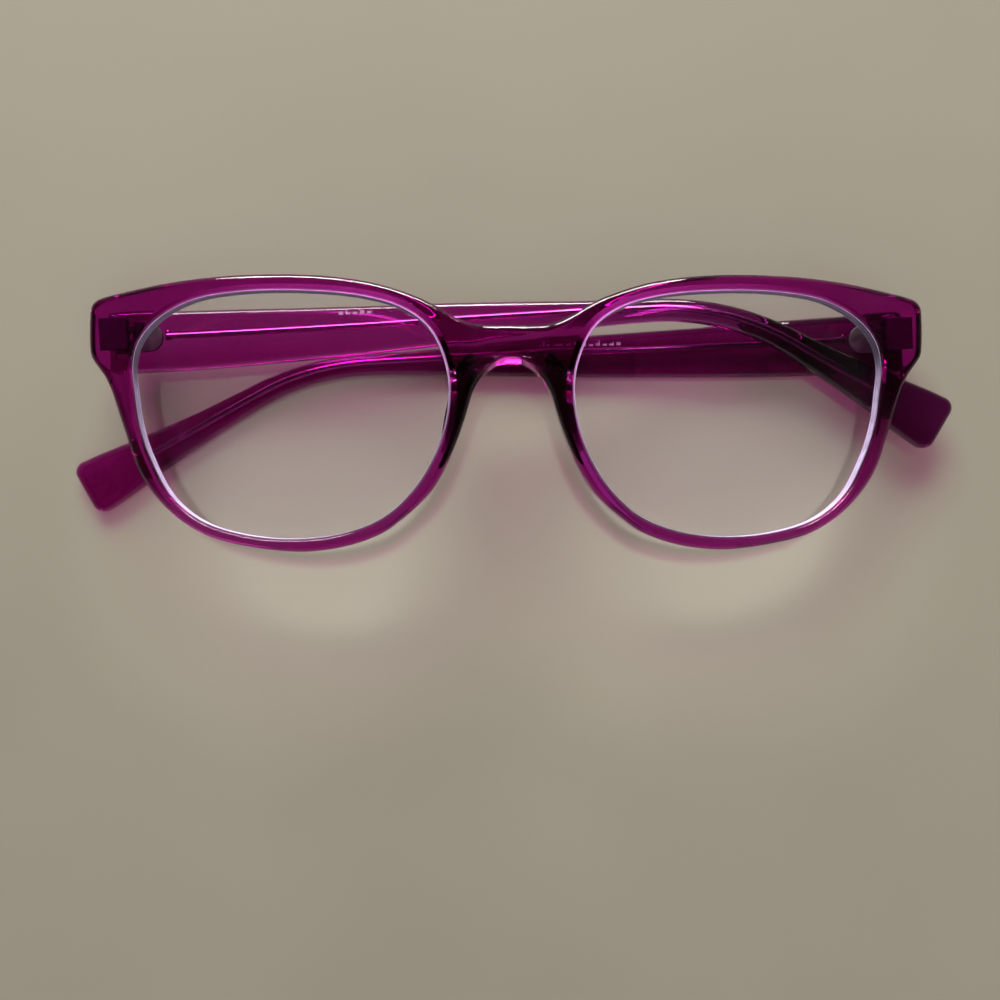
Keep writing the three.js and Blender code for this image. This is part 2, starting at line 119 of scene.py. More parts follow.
class TempleSizes(bpy.types.PropertyGroup):
    length: length("Temple length", "From the hinge pin to the tip", 0.137)
    thickness: length("Temple thickness", "Thickness at the hinge", 0.003)
    tip_thickness: length("Tip thickness", "Thickness at the tip", 0.0026)
    rounding: length("Edge rounding", "Rounding along the temple's edges", 0.0009)
    ear_radius: length("Ear radius", "Radius of the bend over the ear", 0.04)
    bend_left: angle("Left bend", "Ear bend of the left temple", 27)
    bend_right: angle("Right bend", "Ear bend of the right temple", 33.5)
    lean_left: angle("Left lean", "Lean of the left temple in the table's plane", 2.4)
    lean_right: angle("Right lean", "Lean of the right temple in the table's plane", 3.15)
    wire_radius: length("Wire radius", "Radius of the core wire", 0.0006)
    barrel_radius: length("Barrel radius", "Radius of a hinge barrel", 0.00125)
    barrel_pitch: length("Barrel pitch", "Height of one hinge barrel with its gap", 0.0011)
    screw_radius: length("Screw radius", "Radius of the hinge screw", 0.0006)


class Finishes(bpy.types.PropertyGroup):
    acetate: colour("Acetate", "Tint of the acetate's surface", (0.74, 0.24, 0.66))
    acetate_shade: colour("Acetate shade", "Light let through to the table", (0.97, 0.76, 0.92))
    acetate_depth: colour("Acetate depth", "Light kept as the acetate gets thicker", (0.84, 0.1, 0.775))
    acetate_density: FloatProperty(
        name="Acetate density", description="How fast the acetate darkens with depth, per metre",
        default=850.0, min=0.0,
    )
    # The ground edge colour is frosted grey glass with painted light: its violet stands in for plum
    # light from the frame and the coating's reflection.
    lens_edge: colour("Ground edge", "Ground edge of the lenses", (0.42, 0.34, 0.5))
    metal: colour("Hinge metal", "Nickel silver of hinges and wires", (0.62, 0.59, 0.55))
    table: colour("Table", "Pale table top", (0.186, 0.17, 0.136))


def plan():
    """Sizes in millimetres, with those that follow from them."""
    front = bpy.context.scene.glasses_front
    temple = bpy.context.scene.glasses_temple
    p = SimpleNamespace(gap=0.2, groove=front.lens_bevel / MM + 0.2)
    p.half_w = (front.lens_width / 2 - front.lens_bevel) / MM
    p.half_h = (front.lens_height / 2 - front.lens_bevel) / MM
    p.lens_x = (front.bridge + front.lens_width) / 2 / MM
    p.deep = front.thickness / 2 / MM
    p.bevel = front.lens_bevel / MM
    p.edge = front.lens_edge / MM
    p.centre = front.lens_centre / MM
    p.wrap = front.wrap_radius / MM
    p.outer_rounding = front.outer_rounding / MM
    p.back_rounding = front.back_rounding / MM
    p.inner_rounding = front.inner_rounding / MM
    p.pad_depth = front.pad_depth / MM
    p.barrel = temple.barrel_radius / MM
    p.pitch = temple.barrel_pitch / MM
    p.screw = temple.screw_radius / MM
    p.wire = temple.wire_radius / MM
    p.thick = temple.thickness / MM
    p.tip = temple.tip_thickness / MM
    p.length = temple.length / MM
    p.ear = temple.ear_radius / MM
    p.rounding = temple.rounding / MM
    p.bend = {"left": temple.bend_left, "right": temple.bend_right}
    p.lean = {"left": temple.lean_left, "right": temple.lean_right}
    p.pin_inboard = 0.4 * p.barrel
    p.seat = 2 * p.barrel + 0.4
    p.end_x = p.lens_x + 1.26 * p.half_w
    p.pin_x = p.end_x - p.thick - p.pin_inboard
    p.pin_y = 0.69 * p.half_h
    p.seat_x = p.lens_x + 1.003 * p.half_w
    p.bend_start = 0.62 * p.length
    p.leaf_half = 2.15 * p.pitch
    p.leaf_end = 5.9
    p.wire_up = 0.3
    p.barrel_half = p.pitch / 2 - 0.1
    p.screw_top = 2.5 * p.pitch
    p.tilt = math.asin((PINS["right_temple"].z - PINS["left_temple"].z) / (2 * p.pin_x))
    p.pin_depth = sag(p, p.end_x) + p.deep + p.seat
    return p


def sag(p, x):
    """How far the front has curved back at x."""
    ease = 2.4
    far = abs(x)
    arc = min(far, p.seat_x)
    past = min(max(far - p.seat_x, 0), ease)
    return arc * arc / (2 * p.wrap) + p.seat_x / p.wrap * (past - past * past / (2 * ease))


def on_front(p):
    """From the front's own millimetres to the table's metres."""
    pin = PINS["left_temple"]
    return (
        Matrix.Diagonal((MM, MM, MM, 1))
        @ Matrix.Translation((pin.x, pin.y - p.pin_y, pin.z))
        @ Matrix.Rotation(p.tilt, 4, "Y")
        @ Matrix.Translation((-p.pin_x, 0, p.pin_depth))
    )


def at_hinge(p, side, moving):
    """From a hinge's own millimetres, pin along y and temple towards +x, to the table's metres."""
    sign = SIDES[side]
    lean = p.lean[side]
    flip = Matrix.Diagonal((-sign, 1, 1, 1))
    if moving:
        place = Matrix.Translation(PINS[side + "_temple"])
        return Matrix.Diagonal((MM, MM, MM, 1)) @ place @ Matrix.Rotation(lean, 4, "Z") @ flip
    place = Matrix.Translation((sign * p.pin_x, p.pin_y, -p.pin_depth))
    return on_front(p) @ place @ Matrix.Rotation(lean, 4, "Z") @ flip


# ---- lines ------------------------------------------------------------------


def spline(points, steps, closed=False):
    """Points of a smooth curve through the given ones, steps to each stretch."""
    pts = [Vector(point).to_3d() for point in points]
    count = len(pts)
    line = []
    for i in range(count if closed else count - 1):
        b, c = pts[i], pts[(i + 1) % count]
        a = pts[i - 1] if closed or i else b + (b - c)
        d = pts[(i + 2) % count] if closed or i + 2 < count else c + (c - b)
        spans = [max((q - r).length, 1e-6) ** 0.5 for q, r in ((b, a), (c, b), (d, c))]
        ga = ((b - a) / spans[0] - (c - a) / (spans[0] + spans[1]) + (c - b) / spans[1]) * spans[1]
        gb = ((c - b) / spans[1] - (d - b) / (spans[1] + spans[2]) + (d - c) / spans[2]) * spans[1]
        for k in range(steps):
            t = k / steps
            line.append(b + ga * t + (3 * (c - b) - 2 * ga - gb) * t**2 + (2 * (b - c) + ga + gb) * t**3)
    if not closed:
        line.append(pts[-1])
    return line


def spaced(line, count):
    """The line's points moved along it to equal spacing."""
    run = [0]
    for a, b in zip(line, line[1:]):
        run.append(run[-1] + (b - a).length)
    spots = []
    k = 0
    for i in range(count):
        want = run[-1] * i / (count - 1)
        while k < len(run) - 2 and run[k + 1] < want:
            k += 1
        part = (want - run[k]) / max(run[k + 1] - run[k], 1e-9)
        spots.append(line[k].lerp(line[k + 1], min(max(part, 0), 1)))
    return spots


def between(table, x):
    """Value of a table of (x, y) at x, straight between its rows."""
    if x <= table[0][0]:
        return table[0][1]
    for a, b in zip(table, table[1:]):
        if x <= b[0]:
            return a[1] + (b[1] - a[1]) * (x - a[0]) / (b[0] - a[0])
    return table[-1][1]


class Opening:
    """The left lens opening, centred on the lens."""

    def __init__(self, p):
        self.line = spline([(u * p.half_w, v * p.half_h) for u, v in OPENING], 16, closed=True)
        turned = sorted((math.atan2(q.y, q.x) % math.tau, q.length) for q in self.line)
        first, last = turned[0], turned[-1]
        self.reach = [(last[0] - math.tau, last[1])] + turned + [(first[0] + math.tau, first[1])]

    def at(self, turn):
        """The point of the opening in that direction from the lens centre."""
        turn %= math.tau
        low, high = 0, len(self.reach) - 1
        while high - low > 1:
            middle = (low + high) // 2
            if self.reach[middle][0] <= turn:
                low = middle
            else:
                high = middle
        (t0, r0), (t1, r1) = self.reach[low], self.reach[high]
        reach = r0 + (r1 - r0) * (turn - t0) / (t1 - t0)
        return Vector((reach * math.cos(turn), reach * math.sin(turn), 0))

    def out(self, turn):
        """Direction square to the opening's edge, away from the lens."""
        along = self.at(turn + 0.01) - self.at(turn - 0.01)
        return Vector((along.y, -along.x, 0)).normalized()


# ---- mesh helpers -------------------------------------------------------------


def is_vert(item):
    return isinstance(item, bmesh.types.BMVert)


def grow(bm, ring, places, closed=True):
    """Extrudes a row of vertices once and puts the new row on the given places."""
    last = len(ring) if closed else len(ring) - 1
    edges = [bm.edges.get((ring[i], ring[(i + 1) % len(ring)])) for i in range(last)]
    made = bmesh.ops.extrude_edge_only(bm, edges=edges)["geom"]
    fresh = {item for item in made if is_vert(item)}
    row = []
    for vert, place in zip(ring, places):
        new = next(e.other_vert(vert) for e in vert.link_edges if e.other_vert(vert) in fresh)
        new.co = place
        row.append(new)
    return row


def circle(bm, places):
    """A closed row of vertices on the given places."""
    ring = bmesh.ops.create_circle(bm, cap_ends=False, segments=len(places), radius=1)["verts"]
    for vert, place in zip(ring, places):
        vert.co = place
    return ring


def close_ends(bm):
    open_edges = [edge for edge in bm.edges if len(edge.link_faces) == 1]
    if open_edges:
        bmesh.ops.holes_fill(bm, edges=open_edges, sides=0)


def thicken(bm, deep):
    """Gives a flat sheet its thickness, downwards."""
    made = bmesh.ops.extrude_face_region(bm, geom=bm.faces[:])["geom"]
    bmesh.ops.translate(bm, verts=[item for item in made if is_vert(item)], vec=(0, 0, -deep))
    bmesh.ops.recalc_face_normals(bm, faces=bm.faces)


def sharp_edges(bm, degrees):
    return [
        edge for edge in bm.edges
        if len(edge.link_faces) == 2 and edge.calc_face_angle(0) > math.radians(degrees)
    ]


def items_of(faces):
    """Faces with their edges and vertices."""
    return list({item for face in faces for item in (*face.verts, *face.edges, face)})


def slice_near(bm, reach, point, normal):
    """Cuts the faces within reach of the middle along a plane."""
    faces = [face for face in bm.faces if abs(face.calc_center_bounds().x) < reach]
    bmesh.ops.bisect_plane(bm, geom=items_of(faces), dist=0.0001, plane_co=point, plane_no=normal)


def round_off(bm, edges, offset, segments, clamp=False):
    bmesh.ops.bevel(
        bm, geom=edges, offset=offset, offset_type="OFFSET", segments=segments, profile=0.5,
        affect="EDGES", clamp_overlap=clamp, material=-1,
    )


def block(bm, x, y, z):
    """A box between pairs of limits."""
    verts = bmesh.ops.create_cube(bm, size=1)["verts"]
    bmesh.ops.scale(bm, verts=verts, vec=(x[1] - x[0], y[1] - y[0], z[1] - z[0]))
    middle = ((x[0] + x[1]) / 2, (y[0] + y[1]) / 2, (z[0] + z[1]) / 2)
    bmesh.ops.translate(bm, verts=verts, vec=middle)
    return verts


def barrel(bm, radius, low, high, segments=40):
    """A cylinder along y."""
    turn = Matrix.Translation((0, (low + high) / 2, 0)) @ Matrix.Rotation(math.pi / 2, 4, "X")
    made = bmesh.ops.create_cone(
        bm, cap_ends=True, segments=segments, radius1=radius, radius2=radius, depth=high - low,
        matrix=turn,
    )
    return made["verts"]


def finish(bm, name, materials, body, replaced, place):
    """Puts a mesh in its place in the table's metres and hands it over as a piece."""
    bmesh.ops.transform(bm, matrix=place, verts=bm.verts)
    bmesh.ops.recalc_face_normals(bm, faces=bm.faces)
    if bm.calc_volume(signed=True) < 0:
        bmesh.ops.reverse_faces(bm, faces=bm.faces)
    mesh = bpy.data.meshes.new(name)
    bm.to_mesh(mesh)
    bm.free()
    mesh.shade_smooth()
    mesh.set_sharp_from_angle(angle=math.radians(35))
    for material in materials:
        mesh.materials.append(material)
    piece = bpy.data.objects.new(name, mesh)
    bpy.context.scene.collection.objects.link(piece)
    even = piece.modifiers.new("Even normals", "WEIGHTED_NORMAL")
    even.keep_sharp = True
    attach(piece, body)
    if replaced:
        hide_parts(replaced)
    return piece


# ---- finishes -------------------------------------------------------------------


def add(tree, kind, **values):
    node = tree.nodes.new(kind)
    for name, value in values.items():
        setattr(node, name, value)
    return node


def fresh_material(name):
    found = bpy.data.materials.get(name)
    if found:
        return found, None
    material = bpy.data.materials.new(name)
    material.use_nodes = True
    material.node_tree.nodes.clear()
    return material, material.node_tree


def group_tree(name, inputs, outputs):
    """An empty node group with its named sockets, or the one already built."""
    if name in bpy.data.node_groups:
        return bpy.data.node_groups[name], None, None, None
    tree = bpy.data.node_groups.new(name, "ShaderNodeTree")
    for socket, kind, value in inputs:
        made = tree.interface.new_socket(name=socket, in_out="INPUT", socket_type=kind)
        if value is not None:
            made.default_value = value
    for socket, kind in outputs:
        tree.interface.new_socket(name=socket, in_out="OUTPUT", socket_type=kind)
    return tree, tree, add(tree, "NodeGroupInput"), add(tree, "NodeGroupOutput")


def handled_gloss():
    """Polish that has been handled: soft smudges in the gloss, hairline scratches in the height."""
    group, tree, given, out = group_tree(
        "Handled gloss",
        [("Vector", "NodeSocketVector", None), ("Smudge Scale", "NodeSocketFloat", 120.0),
         ("Scratch Scale", "NodeSocketFloat", 900.0), ("Least Roughness", "NodeSocketFloat", 0.03),
         ("Most Roughness", "NodeSocketFloat", 0.12)],
        [("Roughness", "NodeSocketFloat"), ("Height", "NodeSocketFloat"), ("Shade", "NodeSocketFloat")],
    )
    if tree is None:
        return group
    link = tree.links.new
    smudge = add(tree, "ShaderNodeTexNoise")
    smudge.inputs["Detail"].default_value = 3
    link(given.outputs["Vector"], smudge.inputs["Vector"])
    link(given.outputs["Smudge Scale"], smudge.inputs["Scale"])
    spread = add(tree, "ShaderNodeMapRange")
    spread.inputs["From Min"].default_value = 0.35
    spread.inputs["From Max"].default_value = 0.75
    link(smudge.outputs["Fac"], spread.inputs["Value"])
    link(given.outputs["Least Roughness"], spread.inputs["To Min"])
    link(given.outputs["Most Roughness"], spread.inputs["To Max"])
    stretch = add(tree, "ShaderNodeMapping")
    stretch.inputs["Rotation"].default_value = (0, 0, 0.35)
    stretch.inputs["Scale"].default_value = (0.12, 1, 1)
    link(given.outputs["Vector"], stretch.inputs["Vector"])
    scratch = add(tree, "ShaderNodeTexNoise")
    scratch.inputs["Detail"].default_value = 2
    link(stretch.outputs["Vector"], scratch.inputs["Vector"])
    link(given.outputs["Scratch Scale"], scratch.inputs["Scale"])
    link(spread.outputs["Result"], out.inputs["Roughness"])
    link(scratch.outputs["Fac"], out.inputs["Height"])
    link(smudge.outputs["Fac"], out.inputs["Shade"])
    return group


def gloss_onto(tree, principled, bump_depth, **settings):
    """Wires the handled gloss group to a shader's roughness and normal."""
    place = add(tree, "ShaderNodeTexCoord")
    worn = add(tree, "ShaderNodeGroup")
    worn.node_tree = handled_gloss()
    for name, value in settings.items():
        worn.inputs[name.replace("_", " ")].default_value = value
    bump = add(tree, "ShaderNodeBump")
    bump.inputs["Strength"].default_value = 0.35
    bump.inputs["Distance"].default_value = bump_depth
    tree.links.new(place.outputs["Object"], worn.inputs["Vector"])
    tree.links.new(worn.outputs["Roughness"], principled.inputs["Roughness"])
    tree.links.new(worn.outputs["Height"], bump.inputs["Height"])
    tree.links.new(bump.outputs["Normal"], principled.inputs["Normal"])
    return place, worn


def shaded_colour(tree, factor, low, high, socket):
    """A colour that wanders between two neighbours with a mask."""
    ramp = add(tree, "ShaderNodeValToRGB")
    for stop, position, tint in zip(ramp.color_ramp.elements, (0.35, 0.7), (low, high)):
        stop.position = position
        stop.color = (*tint, 1)
    tree.links.new(factor, ramp.inputs["Fac"])
    tree.links.new(ramp.outputs["Color"], socket)


def lets_lamps_through(tree, shader, tint):
    """Output in which lamps shine through the material instead of casting a black shadow."""
    path = add(tree, "ShaderNodeLightPath")
    clear = add(tree, "ShaderNodeBsdfTransparent")
    clear.inputs["Color"].default_value = (*tint, 1)
    mix = add(tree, "ShaderNodeMixShader")
    out = add(tree, "ShaderNodeOutputMaterial")
    tree.links.new(path.outputs["Is Shadow Ray"], mix.inputs["Fac"])
    tree.links.new(shader.outputs["BSDF"], mix.inputs[1])
    tree.links.new(clear.outputs["BSDF"], mix.inputs[2])
    tree.links.new(mix.outputs["Shader"], out.inputs["Surface"])
    return out


# When asked to, the base colour is darkened towards one side of the table as painted shade.
def acetate(name, density=1.0, painted_side_shade=False):
    material, tree = fresh_material(name)
    if tree is None:
        return material
    look = bpy.context.scene.glasses_finish
    skin = add(tree, "ShaderNodeBsdfPrincipled")
    skin.inputs["Transmission Weight"].default_value = 1
    skin.inputs["IOR"].default_value = 1.49
    place, worn = gloss_onto(
        tree, skin, 0.000006, Smudge_Scale=90.0, Scratch_Scale=700.0,
        Least_Roughness=0.015, Most_Roughness=0.07,
    )
    tint = Vector(look.acetate)
    if painted_side_shade:
        # Painted shade: the base colour darkens towards +x on the table, down to 0.3 of itself, for the
        # darker side of the room, so the temples fade towards it.
        parts = add(tree, "ShaderNodeSeparateXYZ")
        tree.links.new(place.outputs["Object"], parts.inputs["Vector"])
        across = add(tree, "ShaderNodeMapRange")
        across.inputs["From Min"].default_value = -0.005
        across.inputs["From Max"].default_value = 0.05
        across.inputs["To Min"].default_value = 1
        across.inputs["To Max"].default_value = 0.3
        tree.links.new(parts.outputs["X"], across.inputs["Value"])
        darker = add(tree, "ShaderNodeVectorMath", operation="MULTIPLY")
        shaded_colour(tree, worn.outputs["Shade"], tint * 0.93, tint, darker.inputs[0])
        tree.links.new(across.outputs["Result"], darker.inputs[1])
        tree.links.new(darker.outputs["Vector"], skin.inputs["Base Color"])
    else:
        shaded_colour(tree, worn.outputs["Shade"], tint * 0.93, tint, skin.inputs["Base Color"])
    out = lets_lamps_through(tree, skin, look.acetate_shade)
    depth = add(tree, "ShaderNodeVolumeAbsorption")
    depth.inputs["Color"].default_value = (*look.acetate_depth, 1)
    depth.inputs["Density"].default_value = look.acetate_density * density
    tree.links.new(depth.outputs["Volume"], out.inputs["Volume"])
    return material


def lens_clear():
    material, tree = fresh_material("Coated lens")
    if tree is None:
        return material
    skin = add(tree, "ShaderNodeBsdfPrincipled")
    skin.inputs["Transmission Weight"].default_value = 1
    skin.inputs["IOR"].default_value = 1.2
    _, worn = gloss_onto(
        tree, skin, 0.000002, Smudge_Scale=60.0, Scratch_Scale=1400.0,
        Least_Roughness=0.0, Most_Roughness=0.03,
    )
    shaded_colour(
        tree, worn.outputs["Shade"], (0.965, 0.945, 0.985), (0.985, 0.97, 0.995),
        skin.inputs["Base Color"],
    )
    lets_lamps_through(tree, skin, (0.97, 0.95, 0.985))
    return material


def lens_ground():
    material, tree = fresh_material("Ground lens edge with painted violet light")
    if tree is None:
        return material
    look = bpy.context.scene.glasses_finish
    skin = add(tree, "ShaderNodeBsdfPrincipled")
    skin.inputs["IOR"].default_value = 1.5
    _, worn = gloss_onto(
        tree, skin, 0.00002, Smudge_Scale=500.0, Scratch_Scale=4000.0,
        Least_Roughness=0.35, Most_Roughness=0.6,
    )
    # Painted light: the violet in this frosted grey stands in for plum light from the frame and the
    # coating's reflection.
    tint = Vector(look.lens_edge)
    shaded_colour(tree, worn.outputs["Shade"], tint * 0.75, tint, skin.inputs["Base Color"])
    out = add(tree, "ShaderNodeOutputMaterial")
    tree.links.new(skin.outputs["BSDF"], out.inputs["Surface"])
    return material


def metal(name, tint, least, most, scale=(1, 1, 1), grain=3000.0, depth=0.00001):
    """Machined nickel silver with fine marks along one direction and darker low spots."""
    material, tree = fresh_material(name)
    if tree is None:
        return material
    skin = add(tree, "ShaderNodeBsdfPrincipled")
    skin.inputs["Metallic"].default_value = 1
    place, worn = gloss_onto(
        tree, skin, depth, Smudge_Scale=900.0, Scratch_Scale=grain,
        Least_Roughness=least, Most_Roughness=most,
    )
    turn = add(tree, "ShaderNodeMapping")
    turn.inputs["Scale"].default_value = scale
    tree.links.new(place.outputs["Object"], turn.inputs["Vector"])
    tree.links.new(turn.outputs["Vector"], worn.inputs["Vector"])
    shaded_colour(tree, worn.outputs["Shade"], tint * 0.9, tint, skin.inputs["Base Color"])
    out = add(tree, "ShaderNodeOutputMaterial")
    tree.links.new(skin.outputs["BSDF"], out.inputs["Surface"])
    return material


def print_ink():
    material, tree = fresh_material("Silver print")
    if tree is None:
        return material
    skin = add(tree, "ShaderNodeBsdfPrincipled")
    _, worn = gloss_onto(
        tree, skin, 0.000005, Smudge_Scale=1500.0, Scratch_Scale=5000.0,
        Least_Roughness=0.4, Most_Roughness=0.7,
    )
    shaded_colour(
        tree, worn.outputs["Shade"], (0.2, 0.09, 0.17), (0.36, 0.22, 0.32), skin.inputs["Base Color"],
    )
    out = add(tree, "ShaderNodeOutputMaterial")
    tree.links.new(skin.outputs["BSDF"], out.inputs["Surface"])
    return material


def table_top():
    material, tree = fresh_material("Pale table")
    if tree is None:
        return material
    look = bpy.context.scene.glasses_finish
    skin = add(tree, "ShaderNodeBsdfPrincipled")
    skin.inputs["IOR"].default_value = 1.45
    skin.inputs["Specular IOR Level"].default_value = 0.2
    _, worn = gloss_onto(
        tree, skin, 0.00001, Smudge_Scale=14.0, Scratch_Scale=900.0,
        Least_Roughness=0.6, Most_Roughness=0.75,
    )
    tint = Vector(look.table)
    shaded_colour(tree, worn.outputs["Shade"], tint * 0.96, tint * 1.03, skin.inputs["Base Color"])
    out = add(tree, "ShaderNodeOutputMaterial")
    tree.links.new(skin.outputs["BSDF"], out.inputs["Surface"])
    return material


# ---- pieces -----------------------------------------------------------------------


def front_loops(p):
    """Outer line and lens opening of the left half of the front, matched point to point."""
    opening = Opening(p)
    outer = spaced(spline(OUTER_LINE, 12), 236)
    seam = 6
    top, arch = outer[-1], outer[0]
    outer += [top.lerp(arch, k / seam) for k in range(1, seam)]
    count = len(outer)
    centre = Vector((p.lens_x, 0, 0))
    turns = []
    for q in outer:
        near = min(opening.line, key=lambda spot: (spot + centre - q).length)
        turn = math.atan2(near.y, near.x)
        last = turns[-1] if turns else math.pi
        turns.append(last + (turn - last + math.pi) % math.tau - math.pi)
    # Points that fall together are pushed apart a little.
    least = 0.2 * math.tau / count
    for _ in range(200):
        for i in range(count):
            following = (i + 1) % count
            gap = turns[following] - turns[i] + (0 if following else math.tau)
            if gap < least:
                turns[i] -= (least - gap) / 2
                turns[following] += (least - gap) / 2
    inner = [centre + opening.at(turn) for turn in turns]
    return opening, outer, inner


def front_mesh(p):
    """The cut front: a flat sheet made thick, rounded, grooved for its lenses and curved back."""
    opening, outer, inner = front_loops(p)
    bm = bmesh.new()
    ring = circle(bm, inner)
    ring = grow(bm, ring, [a.lerp(b, 0.24) for a, b in zip(inner, outer)])
    grow(bm, ring, outer)
    for vert in bm.verts:
        vert.co.z = p.deep
    bmesh.ops.mirror(
        bm, geom=bm.verts[:] + bm.edges[:] + bm.faces[:], axis="X", matrix=Matrix.Identity(4),
        merge_dist=0.001,
    )
    bmesh.ops.remove_doubles(bm, verts=bm.verts, dist=0.001)
    bmesh.ops.recalc_face_normals(bm, faces=bm.faces)
    if sum(face.normal.z for face in bm.faces) < 0:
        bmesh.ops.reverse_faces(bm, faces=bm.faces)
    thicken(bm, 2 * p.deep)

    def off_lens(vert):
        """Distance of a vertex from the edge of its lens opening."""
        here = Vector((abs(vert.co.x) - p.lens_x, vert.co.y, 0))
        return here.length - opening.at(math.atan2(here.y, here.x)).length

    # The arch over the nose slopes back and down.
    arch_half, slope_front, slope_back = 5.2, 0.4, 0.7
    for vert in bm.verts:
        near = abs(vert.co.x)
        if near < arch_half and 3 < vert.co.y < 9.5:
            part = math.cos(near / arch_half * math.pi / 2) * vert.co.z / p.deep
            vert.co.y += part * (slope_front if part > 0 else slope_back)

    def beside_lens(edge):
        return all(abs(off_lens(vert)) < 0.05 for vert in edge.verts)

    def at_front(edge):
        return all(vert.co.z > 0 for vert in edge.verts)

    outer_front = [e for e in sharp_edges(bm, 50) if at_front(e) and not beside_lens(e)]
    round_off(bm, outer_front, p.outer_rounding, 5)
    outer_back = [e for e in sharp_edges(bm, 50) if not beside_lens(e)]
    round_off(bm, outer_back, p.back_rounding, 5)
    inner = [e for e in sharp_edges(bm, 50) if beside_lens(e)]
    round_off(bm, inner, p.inner_rounding, 3, clamp=True)

    # Where the roundings crowd together at the bridge, nothing may stand out into a lens opening.
    for vert in bm.verts:
        if off_lens(vert) < -0.02:
            side = 1 if vert.co.x > 0 else -1
            edge = opening.at(math.atan2(vert.co.y, abs(vert.co.x) - p.lens_x))
            vert.co.x = side * (p.lens_x + edge.x)
            vert.co.y = edge.y
    bmesh.ops.dissolve_degenerate(bm, dist=0.001, edges=bm.edges)

    # Groove for the lens: the inner wall is cut into rows and the middle one let in.
    upright = [
        edge for edge in bm.edges
        if beside_lens(edge) and abs(edge.verts[0].co.z - edge.verts[1].co.z) > 1.5
    ]
    cut = bmesh.ops.subdivide_edges(bm, edges=upright, cuts=3, use_grid_fill=True)["geom_inner"]
    for vert in {item for item in cut if is_vert(item)}:
        row = round(vert.co.z)
        vert.co.z = row * (p.groove + 0.1)
        if row == 0:
            side = 1 if vert.co.x > 0 else -1
            turn = math.atan2(vert.co.y, abs(vert.co.x) - p.lens_x)
            out = opening.out(turn)
            vert.co += Vector((side * out.x, out.y, 0)) * p.groove
    # The middle is cut finer and its front hollowed, so the rims flow down into the bridge.
    middle_half, bridge_half, fine = 13, 7.5, 0.7
    for step in range(-18, 19):
        slice_near(bm, middle_half, (step * fine, 0, 0), (1, 0, 0))
    for step in range(18):
        slice_near(bm, middle_half, (0, 3.5 + step * fine, 0), (0, 1, 0))
    for step in range(-3, 4):
        slice_near(bm, bridge_half, (0, 0, step * 0.4), (0, 0, 1))
    arch = [vert for vert in bm.verts if abs(vert.co.x) < 5.5 and 2.5 < vert.co.y < 10.8]
    for _ in range(5):
        bmesh.ops.smooth_vert(
            bm, verts=arch, factor=0.5, use_axis_x=True, use_axis_y=True, use_axis_z=True,
        )
    hollow_half, hollow_fade, hollow_depth = 3.6, 4.4, 1.1
    for vert in bm.verts:
        far = min(max((abs(vert.co.x) - hollow_half) / hollow_fade, 0), 1)
        hollow = 1 - far * far * (3 - 2 * far)
        low = min(max((vert.co.y - 2) / 4, 0), 1)
        vert.co.z -= hollow_depth * hollow * low * max(vert.co.z + p.deep, 0) / (2 * p.deep)
        vert.co.z -= sag(p, vert.co.x)
    return bm


def lens_mesh(p, sign):
    """A meniscus lens spun from its profile and led round the opening."""
    opening = Opening(p)
    nominal = p.half_h
    rim = nominal - 0.15
    worn, ground = rim - 0.12, rim - 0.08
    dome = 1.7

    def rise(r, face):
        part = r / rim
        middle = dome * (1 - (r / nominal) ** 2)
        return middle + face * (p.centre + (p.edge - p.centre) * part * part) / 2

    rows = [k / 14 for k in range(15)]
    profile = [(part * worn, rise(part * worn, -1)) for part in rows]
    profile += [(rim, rise(rim, -1) + 0.2), (rim, -p.bevel - 0.05), (nominal + p.bevel, 0)]
    profile += [(rim, p.bevel + 0.05), (rim, rise(rim, 1) - 0.1)]
    profile += [(part * ground, rise(part * ground, 1)) for part in reversed(rows)]
    bm = bmesh.new()
    line = [bm.verts.new((r, 0, z)) for r, z in profile]
    edges = [bm.edges.new(pair) for pair in zip(line, line[1:])]
    bmesh.ops.spin(
        bm, geom=line + edges, cent=(0, 0, 0), axis=(0, 0, 1), angle=math.tau, steps=192,
        use_merge=True,
    )
    bmesh.ops.remove_doubles(bm, verts=bm.verts, dist=0.0005)

    def in_ground_edge(vert):
        return math.hypot(vert.co.x, vert.co.y) > (worn if vert.co.z < 0 else ground) - 0.01

    for face in bm.faces:
        if all(in_ground_edge(vert) for vert in face.verts):
            face.material_index = 1
    for vert in bm.verts:
        radius = math.hypot(vert.co.x, vert.co.y)
        turn = math.atan2(vert.co.y, vert.co.x)
        edge = opening.at(turn)
        here = edge * min(radius / nominal, 1) + opening.out(turn) * max(radius - nominal, 0)
        vert.co.x = sign * (p.lens_x + here.x)
        vert.co.y = here.y
        vert.co.z -= sag(p, vert.co.x)
    return bm


